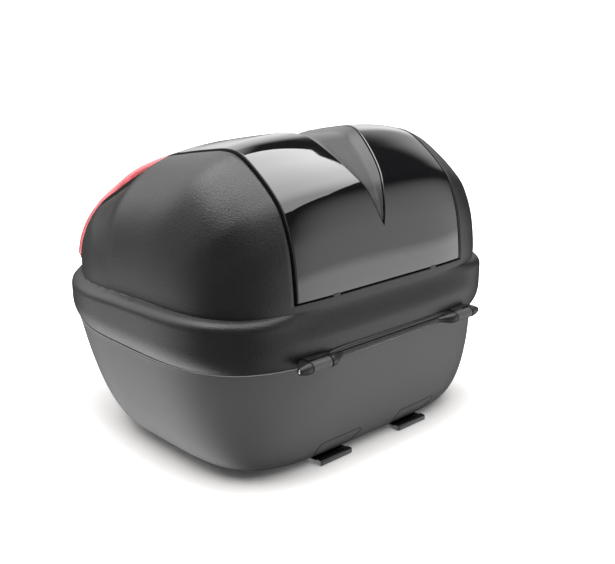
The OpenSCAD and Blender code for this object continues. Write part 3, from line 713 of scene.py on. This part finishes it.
def lens_rise(t):
    """How far a lens stands out of the lid: most just below the panel and above the shoulder."""
    u = np.clip((t - LENS_FROM) / (LENS_TO - LENS_FROM), 0, 1)
    swell = 8.6 * np.exp(-((u - 0.18) / 0.2) ** 2) + 7.4 * np.exp(-((u - 0.8) / 0.36) ** 2)
    return 1.0 + (1 - np.exp(-u / 0.04)) * swell


def wing(s, x_from, x_to, t_from, t_to, rise, sink_to, radius, count_x, count_t):
    """A crowned slab on the lid's rear slope, with rounded edges: rows along t, columns across x."""
    dense = np.linspace(t_from, t_to, 500)
    rows = even(section(dense), dense, count_t)
    lips = np.array([0, 0.04, 0.14, 0.3, 0.52, 0.78, 1.0]) * radius
    rows = np.unique(np.concatenate([
        t_from + lips / arc_rate(np.array(t_from)), rows[(rows > t_from + 0.2) & (rows < t_to - 0.3)],
        t_to - lips / arc_rate(np.array(t_to - 0.05))]).round(4))
    t = rows[:, None]
    lo, hi = x_from(t), x_to(t)
    middle = np.linspace(0, 1, count_x)[1:-1]
    x = np.hstack([lo + lips, lo + radius + (hi - lo - 2 * radius) * middle, hi - lips[::-1]])
    along = np.minimum((t - t_from) * arc_rate(t), (t_to - t) * arc_rate(t))
    inside = np.minimum(np.minimum(x - lo, hi - x), along)
    grid_t = np.broadcast_to(t, x.shape)
    height = rise(t)
    top = dome(s * x, grid_t, height - (height - sink_to) / radius * lip_drop(inside, radius) * 0.9)
    return top, s * x, grid_t


def lens_inner(t):
    return np.full_like(t, LENS_INNER)


def garnish_edge(t):
    return np.full_like(t, LENS_INNER - 1.2)


def make_rear():
    """The red lenses with a painted shade strip along their sides, their reflectors, and the garnish
    between them.
    """
    top_row = LENS_FROM + 0.03
    for s, side in ((1, "left"), (-1, "right")):
        top, x, t = wing(s, lens_inner, lens_edge, top_row, LENS_TO, lens_rise, -1.5, 3.6, 34, 60)
        lens = Skin()
        lens.slab(top, dome(x, t, -2.4))
        name = f"lens_cover_{side}"
        place(name, lens.mesh(name), "lid", LENS, (f"lens_{side}",), 60)

        # a black strip along each lens's outer side: painted shade for the dark gap between the lens and
        # the lid
        run = np.linspace(LENS_FROM, LENS_TO - 0.02, 120)[:, None]
        depth = np.hstack([0.38 * lens_rise(run), np.full_like(run, -3.3)])
        edge = s * lens_edge(run)
        seal = Skin()
        seal.slab(dome(edge + s, run, depth), dome(edge - 0.1 * s, run, depth))
        name = f"lens_seal_{side}"
        place(name, seal.mesh(name), "lid", SHADOW, (), 60)

        rows = np.linspace(LENS_FROM + 0.1, LENS_TO - 0.15, 46)[:, None]
        shares = np.linspace(0, 1, 31)[None, :]
        across = s * (LENS_INNER + 2 + (lens_edge(rows) - LENS_INNER - 5) * shares)
        i, j = np.indices(across.shape)
        prisms = -3.4 - 1.5 * ((i + j) % 2)
        rows = np.broadcast_to(rows, across.shape)
        back = Skin()
        back.slab(dome(across, rows, prisms), dome(across, rows, -8.0))
        name = f"prisms_{side}"
        place(name, back.mesh(name), "lid", PRISM, (f"reflector_{side}",), 5)
    top, x, t = wing(
        1, lambda t: -garnish_edge(t), garnish_edge, top_row, LENS_TO, lambda t: 3.0, -2.0, 4.0, 40, 60)
    garnish = Skin()
    garnish.slab(top, dome(x, t, -4.0))
    place("rear_trim", garnish.mesh("rear_trim"), "lid", TRIM, ("rear_garnish",), 60)


# ---------------------------------------------------------------- base

def make_base():
    skin = Skin()
    depth = SEAM_Z - FLOOR_Z
    turn = np.linspace(0, math.pi / 2, 60)
    bevel = ((3.0, 0.0), (1.15, 0.0), (0.9, 0.1), (0.5, 0.55), (0.12, 1.15), (0.02, 1.45))
    rim = [level(base_ring(SEAM_Z, off), SEAM_Z - drop) for off, drop in bevel]
    outer = []
    for k in turn:
        z = SEAM_Z - depth * math.sin(k)
        outer.append(level(base_ring(z), min(SEAM_Z - 1.8, z)))
    lining = []
    for k in turn[::-1][::2]:
        z = SEAM_Z - (depth - BASE_WALL) * math.sin(k)
        lining.append(level(base_ring(SEAM_Z - depth * math.sin(k), BASE_WALL), z))
    rings = np.array(rim + outer)
    ids = skin.grid(rings, around=True)
    skin.faces.append(ids[-1].tolist())
    inner_ids = skin.grid(np.array(lining), around=True)
    skin.faces.append(inner_ids[0].tolist())
    skin.quads(np.vstack([inner_ids[-1], ids[0]]), around=True)
    name = "base_moulding"
    base = place(name, skin.mesh(name), "base", BASE, ("base_shell",), 42)
    cut_base(base)

    # a thin bead along the base's top edge, in the lighter rim plastic: a painted highlight along the seam
    bead = ((1.3, 0.0), (0.9, -0.18), (0.3, -0.14), (-0.06, 0.2), (-0.14, 0.9), (0.6, 1.4), (1.3, 0.0))
    rings = [level(base_ring(SEAM_Z, off), SEAM_Z - drop) for off, drop in bead]
    rim_bead = Skin()
    rim_bead.grid(np.array(rings), around=True)
    place("base_rim_bead", rim_bead.mesh("base_rim_bead"), "base", RIM, (), 60)

    knuckles = Skin()
    for s in (1, -1):
        rings = []
        for x, r in ((90.8, 5.1), (91.1, 5.4), (112.9, 5.4), (113.2, 5.1)):
            y = float(base_front(x, 111.0))
            ring = knuckle_arc(s * x, HINGE_Y, HINGE_Z, r, 190, -95)
            web = ((y + 0.2, 111.0), (y - 1.6, 110.0), (y - 1.6, 113.4), (187.0, 114.6))
            rings.append(ring + [(s * x, a, b) for a, b in web])
        knuckles.tube(np.array(rings))
    place("base_hinge_knuckles", knuckles.mesh("base_hinge_knuckles"), "base", BASE, (), 40)

    # thin tubes in the painted-shade black stand for the shade in the grooves round the feet's housings
    scribes = Skin()
    for foot_x in (86, -26):
        scribe(scribes, foot_x)
    place("foot_outlines", scribes.mesh("foot_outlines"), "base", SHADOW, (), 60)


def cut_base(base):
    """Cuts the latch window and the slot for the plate's catch through the base, as the CAD has them."""
    for name, x0, y0, z0, x1, y1, z1 in (
            ("window", -50, -210, 44, 50, -140, 106), ("slot", -13, -55, -5, 13, -41, 20)):
        cutter = Skin()
        cutter.tube(np.array([[(x0, y0, z), (x1, y0, z), (x1, y1, z), (x0, y1, z)] for z in (z0, z1)]))
        block = bpy.data.objects.new(f"cut_{name}", cutter.mesh(f"cut_{name}"))
        bpy.context.scene.collection.objects.link(block)
        cut = base.modifiers.new(name, "BOOLEAN")
        cut.operation = "DIFFERENCE"
        cut.solver = "EXACT"
        cut.object = block
    bpy.context.view_layer.update()
    shaped = base.evaluated_get(bpy.context.evaluated_depsgraph_get())
    mesh = bpy.data.meshes.new_from_object(shaped)
    base.modifiers.clear()
    base.data = mesh
    for name in ("cut_window", "cut_slot"):
        bpy.data.objects.remove(bpy.data.objects[name])
    smooth(mesh, 42)


def scribe(skin, foot_x):
    """The fine parting line round a foot's housing, drawn on the base's hinge side as a thin dark tube:
    painted shade for its groove.
    """
    corners = [(-5, 6), (-5, 19), (-8, 23.5), (-12, 25), (-60, 25.5), (-63, 23.5), (-62, 20), (-45, 9)]
    path = []
    for (xa, za), (xb, zb) in zip(corners, corners[1:]):
        for k in np.linspace(0, 1, max(3, int(math.hypot(xb - xa, zb - za) / 2)), endpoint=False):
            path.append((foot_x + xa + (xb - xa) * k, za + (zb - za) * k))
    line = np.array([(x, float(base_front(x, z)), z) for x, z in path])
    ahead = np.gradient(line, axis=0)
    ahead /= np.linalg.norm(ahead, axis=1, keepdims=True)
    across = np.cross(ahead, (0, 0.8, -0.6))
    across /= np.linalg.norm(across, axis=1, keepdims=True)
    up = np.cross(across, ahead)
    turn = np.linspace(0, 2 * math.pi, 6, endpoint=False)
    skin.tube(np.array([
        [p + 0.42 * (math.cos(k) * a + math.sin(k) * b) for k in turn]
        for p, a, b in zip(line, across, up)]))


def make_gasket():
    skin = Skin()
    profile = [(3.7, -4.4), (3.7, 0.7), (4.1, 1.3), (4.8, 1.65),
               (5.6, 1.65), (6.3, 1.3), (6.7, 0.7), (6.7, -4.4)]
    rings = np.array([level(base_ring(SEAM_Z, off), SEAM_Z + rise) for off, rise in profile + profile[:1]])
    skin.grid(rings, around=True)
    place("rim_seal", skin.mesh("rim_seal"), "base", RUBBER, ("seal_gasket",), 50)


def make_feet():
    """The hook feet: a plate with a raised front lip."""
    profile = [(104, 0.0), (168.6, 0.0), (170, 1.2), (170, 5.0), (169, 6.0), (163.5, 6.0), (162, 4.6),
               (153, 3.9), (104, 3.95)]
    for s, side in ((1, "left"), (-1, "right")):
        foot = Skin()
        foot.tube(np.array([[(s * x, y, z) for y, z in profile] for x in (35, 77)]))
        name = f"foot_plate_{side}"
        piece = place(name, foot.mesh(name), "base", FOOT, (f"hook_foot_{side}",), 40)
        add_bevel(piece, 0.7)


# ---------------------------------------------------------------- screws, pins and the latch

def screw(skin, place_at, axis, length, head_r, head_h, body_r):
    """A socket screw: domed head with a hexagonal socket, and a threaded shank of stacked rings."""
    axis = Vector(axis).normalized()
    side = axis.orthogonal().normalized()
    other = axis.cross(side)

    def ring(r, h, sides=36, flats=0):
        a = np.linspace(0, 2 * math.pi, sides, endpoint=False)
        reach = r
        if flats:
            half = math.pi / flats
            reach = r * math.cos(half) / np.cos((a % (2 * half)) - half)
        c = np.array(place_at) + np.array(axis) * h
        return c + np.outer(reach * np.cos(a), side) + np.outer(reach * np.sin(a), other)

    socket = head_r * 0.5
    rings = [
        ring(socket, -head_h * 0.45, flats=6), ring(socket, -head_h * 0.92, flats=6),
        ring(head_r * 0.72, -head_h), ring(head_r * 0.92, -head_h * 0.82), ring(head_r, -head_h * 0.45),
        ring(head_r, 0.0), ring(body_r, 0.0)]
    pitch = 0.7
    for k in range(int((length - 0.6) / pitch)):
        rings += [ring(body_r * 0.86, (k + 0.5) * pitch), ring(body_r, (k + 1) * pitch)]
    rings.append(ring(body_r * 0.6, length))
    skin.tube(np.array(rings))


def make_fasteners():
    feet, cover, keeper, panel = Skin(), Skin(), Skin(), Skin()
    for s in (1, -1):
        for y in (112, 140):
            screw(feet, (s * 56, y, FLOOR_Z + BASE_WALL), (0, 0, -1), 6.4, 4, 1.8, 2)
        screw(cover, (s * 58, -85, FLOOR_Z + BASE_WALL + 2.4), (0, 0, -1), 4, 3, 1.6, 1.5)
        screw(cover, (s * 40, -138.9, 92), (0, -1, 0), 17, 3, 1.6, 1.5)
        screw(keeper, (s * 10, -181.6, 142), (0, -1, 0), 2.2, 3, 1.6, 1.5)
        for t in (8.9, 11):
            x, y, z = dome(s * 75.0, float(t), -9.0 - LID_WALL)
            screw(panel, (x, y, z - 1.6), (0, 0, 1), 10, 3.2, 1.6, 1.35)
    for name, skin, body, node in (
            ("foot_socket_screws", feet, "base", "foot_screws"),
            ("cover_socket_screws", cover, "base", "cover_screws"),
            ("keeper_socket_screws", keeper, "lid", "keeper_screws"),
            ("panel_socket_screws", panel, "lid", "panel_screws")):
        place(name, skin.mesh(name), body, ZINC, (node,), 30)


def make_pins():
    """The hinge pins, and dark discs round their outer ends: a painted shade for the dark ring round each
    pin's end.
    """
    pin = ((81, 1.6), (81.5, 2), (126.9, 2), (127.25, 1.8), (127.4, 1.3))
    # black discs behind the pins' ends: painted shade
    shade_disc = ((126.2, 2.75), (127.06, 2.75))
    skin, shade_skin = Skin(), Skin()
    for s in (1, -1):
        rod(skin, [(s * x, HINGE_Y, HINGE_Z, r) for x, r in pin], 32)
        rod(shade_skin, [(s * x, HINGE_Y, HINGE_Z, r) for x, r in shade_disc], 32)
    place("pin_seats", shade_skin.mesh("pin_seats"), "lid", SHADOW, (), 40)
    place("hinge_pin_pair", skin.mesh("hinge_pin_pair"), "base", PIN, ("hinge_pins",), 40)


def make_latch():
    for node, name, body, slot, finish, width in (
            ("rear_pads", "pad_pair", "base", "seal_rubber", RUBBER, 0.8),
            ("lock_housing", "latch_frame", "base", "trim_plastic", TRIM, 1.2),
            ("lever_pin", "lever_axle", "base", "pin_steel", PIN, 0.3),
            ("hook_pin", "hook_axle", "base", "pin_steel", PIN, 0.3),
            ("mechanism_cover", "mechanism_housing", "base", "inner_plastic", INNER, 0.7),
            ("keeper_plate", "keeper_strip", "lid", "zinc_steel", ZINC, 0.3),
            ("latch_lever", "lever_handle", "lever", "lever_plastic", LEVER, 0.9),
            ("latch_hook", "hook_claw", "hook", "zinc_steel", ZINC, 0.5),
            ("lock_cylinder", "key_barrel", "lock", "lock_chrome", CHROME, 0.4),
            ("release_button", "red_button", "button", "button_plastic", BUTTON, 1.3),
            ("plate_hook", "catch_hook", "catch", "zinc_steel", ZINC, 0.3),
            ("release_link", "push_link", "catch", "zinc_steel", ZINC, 0.3)):
        softened(node, name, body, finish, width)
    nodes["hook_springs"].data.materials.clear()
    nodes["hook_springs"].data.materials.append(ZINC)


# ---------------------------------------------------------------- stage

LIGHT_Z = 1800.0
# soft patches of the studio's sky: azimuth, elevation, inner and outer angle, gain
FLOOR_BOUNCE = (132, -22, 20, 56, 0.75)
SKY = (
    (138, -6, 10, 40, 1.0),
    (-62, -47, 12, 36, 2.9),
    (-52, 2, 15, 46, 0.5),
    (-158, 24, 6, 22, 0.8),
    (-131, 20, 8, 27, 1.25),
    (-74, 44, 21, 43, 1.85),
)
SKY_BASE = 0.04


def emitter(name, corners, strength, far_strength, near_y, far_y):
    """A flat light panel overhead, unseen by the camera; its strength changes along y, in metres."""
    mesh = bpy.data.meshes.new(name)
    points = [(x * MM, y * MM, LIGHT_Z * MM) for x, y in corners]
    mesh.from_pydata(points, [], [list(range(len(corners)))])
    panel = bpy.data.objects.new(name, mesh)
    bpy.context.scene.collection.objects.link(panel)
    material = bpy.data.materials.new(name)
    material.use_nodes = True
    tree = material.node_tree
    tree.nodes.clear()
    glow = add(tree, "ShaderNodeEmission", Color=(1, 1, 1, 1))
    parts = add(tree, "ShaderNodeSeparateXYZ")
    tree.links.new(add(tree, "ShaderNodeTexCoord").outputs["Object"], parts.inputs[0])
    power = remap(tree, parts.outputs["Y"], near_y, far_y, strength, far_strength)
    tree.links.new(power, glow.inputs["Strength"])
    out = add(tree, "ShaderNodeOutputMaterial")
    tree.links.new(glow.outputs[0], out.inputs[0])
    mesh.materials.append(material)
    panel.visible_camera = False


def make_floor():
    """A pale floor that glows brighter away from the case and runs white into the background; the dimmer
    ring round the case is painted shade.
    """
    half = 9.0
    corners = [(-half, -half, 0), (half, -half, 0), (half, half, 0), (-half, half, 0)]
    mesh = bpy.data.meshes.new("floor")
    mesh.from_pydata(corners, [], [[0, 1, 2, 3]])
    floor = bpy.data.objects.new("floor", mesh)
    bpy.context.scene.collection.objects.link(floor)
    material, tree, shader = nodes_of("floor_white")
    where = add(tree, "ShaderNodeTexCoord").outputs["Object"]
    folded = add(tree, "ShaderNodeVectorMath", operation="ABSOLUTE")
    beyond = add(tree, "ShaderNodeVectorMath", operation="SUBTRACT")
    outside = add(tree, "ShaderNodeVectorMath", operation="MAXIMUM")
    length = add(tree, "ShaderNodeVectorMath", operation="LENGTH")
    beyond.inputs[1].default_value = (0.15, 0.13, 0.0)
    outside.inputs[1].default_value = (0.0, 0.0, 0.0)
    for before, after in ((where, folded), (folded.outputs[0], beyond), (beyond.outputs[0], outside),
                          (outside.outputs[0], length)):
        tree.links.new(before, after.inputs[0])
    # painted shade: the floor's glow rises from almost none at the case's footprint to full 0.16 m beyond
    # it, so a dim ring round the case adds to its real shadow
    glow = add(tree, "ShaderNodeMapRange", interpolation_type="SMOOTHSTEP")
    for index, number in zip((1, 2, 3, 4), (0.0, 0.16, 0.02, 0.9)):
        glow.inputs[index].default_value = number
    tree.links.new(length.outputs["Value"], glow.inputs[0])
    tree.links.new(glow.outputs[0], shader.inputs["Emission Strength"])
    shader.inputs["Base Color"].default_value = (0.9, 0.885, 0.875, 1)
    shader.inputs["Roughness"].default_value = 0.9
    shader.inputs["Specular IOR Level"].default_value = 0.1
    shader.inputs["Emission Color"].default_value = (1, 1, 1, 1)
    mesh.materials.append(material)
    floor.visible_glossy = False


def lobe(tree, where, azimuth, elevation, inner, outer, gain):
    """A soft bright patch round a direction, from its inner to its outer angle in degrees."""
    a, e = math.radians(azimuth), math.radians(elevation)
    dot = add(tree, "ShaderNodeVectorMath", operation="DOT_PRODUCT")
    tree.links.new(where, dot.inputs[0])
    dot.inputs[1].default_value = (math.cos(a) * math.cos(e), math.sin(a) * math.cos(e), math.sin(e))
    ramp = add(tree, "ShaderNodeMapRange", interpolation_type="SMOOTHSTEP")
    limits = (math.cos(math.radians(outer)), math.cos(math.radians(inner)), 0.0, gain)
    for index, number in zip((1, 2, 3, 4), limits):
        ramp.inputs[index].default_value = number
    tree.links.new(dot.outputs["Value"], ramp.inputs[0])
    return ramp.outputs[0]


def make_stage():
    make_floor()
    key = [(-400, -430), (-1250, -100), (-1700, 700), (-1650, 1500),
           (-1000, 2150), (100, 2200), (700, 1500), (600, 200)]
    emitter("key_softbox", key[::-1], 5.5, 2.5, 0.1, 1.2)
    top = [(640, 210), (-360, -430), (-150, -900), (800, -1000), (1400, -400), (1300, 250)]
    emitter("top_softbox", top, 6.4, 6.4, 0.0, 1.0)

    world = bpy.data.worlds.new("studio")
    bpy.context.scene.world = world
    world.use_nodes = True
    tree = world.node_tree
    tree.nodes.clear()
    out = add(tree, "ShaderNodeOutputWorld")
    back = add(tree, "ShaderNodeBackground")
    white = add(tree, "ShaderNodeBackground", Color=(1, 1, 1, 1), Strength=1.02)
    mix = add(tree, "ShaderNodeMixShader")
    path = add(tree, "ShaderNodeLightPath")
    tree.links.new(path.outputs["Is Camera Ray"], mix.inputs[0])
    tree.links.new(back.outputs[0], mix.inputs[1])
    tree.links.new(white.outputs[0], mix.inputs[2])
    tree.links.new(mix.outputs[0], out.inputs[0])
    where = add(tree, "ShaderNodeTexCoord").outputs["Generated"]
    parts = add(tree, "ShaderNodeSeparateXYZ")
    tree.links.new(where, parts.inputs[0])
    below = remap(tree, parts.outputs["Z"], -0.088, -0.125, 0.0, 1.0)
    total = maths(tree, "MULTIPLY", below, lobe(tree, where, *FLOOR_BOUNCE))
    for patch in SKY:
        total = maths(tree, "ADD", total, lobe(tree, where, *patch))
    total = maths(tree, "ADD", total, SKY_BASE)
    tree.links.new(total, back.inputs["Strength"])
    back.inputs["Color"].default_value = (1, 1, 1, 1)

    look_from = Vector((622.3, 734.0, 422.5)) * MM
    camera = bpy.data.objects.new("camera", bpy.data.cameras.new("camera"))
    bpy.context.scene.collection.objects.link(camera)
    camera.location = look_from
    camera.rotation_euler = Vector((0.6534, 0.6999, 0.2884)).to_track_quat("Z", "Y").to_euler()
    camera.data.lens = 53.0
    camera.data.sensor_width = 36.0
    camera.data.clip_start = 0.01
    bpy.context.scene.camera = camera
    bpy.context.scene.view_settings.view_transform = "Standard"


make_lid()
make_panel()
make_vee()
make_rear()
make_base()
make_gasket()
make_feet()
make_fasteners()
make_pins()
make_latch()
make_stage()
